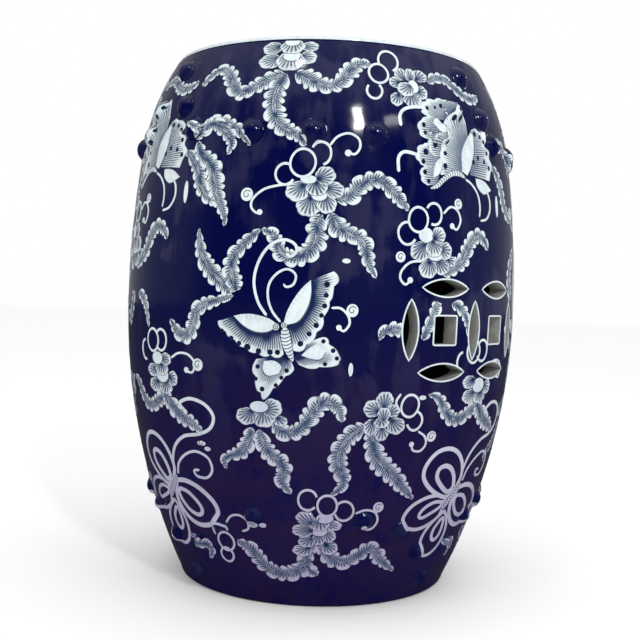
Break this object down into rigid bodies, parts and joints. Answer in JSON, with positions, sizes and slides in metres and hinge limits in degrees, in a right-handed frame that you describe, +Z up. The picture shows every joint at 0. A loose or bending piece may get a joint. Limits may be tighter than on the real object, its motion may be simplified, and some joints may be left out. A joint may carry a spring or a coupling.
{
  "type": "garden stool",
  "caption": "Barrel-shaped glazed ceramic garden stool with pierced interlocked coins on two sides, a pierced seat slab and garlands of raised domed studs.",
  "frame": {"origin": "centre of the foot ring, on the floor plane", "axes": "+Z up along the barrel's axis; the pierced double coins are centred on +X and -X"},
  "size_m": [0.35, 0.3499, 0.457],
  "materials": {
    "blue_glaze": "glossy cobalt glaze with a white and blue-grey pattern",
    "seat_glaze": "glossy cobalt glaze, white at the edge",
    "stud_glaze": "glossy dark cobalt glaze"
  },
  "bodies": {
    "root": {"barrel_wall": "blue_glaze", "seat_slab": "seat_glaze", "upper_studs": "stud_glaze", "lower_studs": "stud_glaze"}
  },
  "joints": []
}
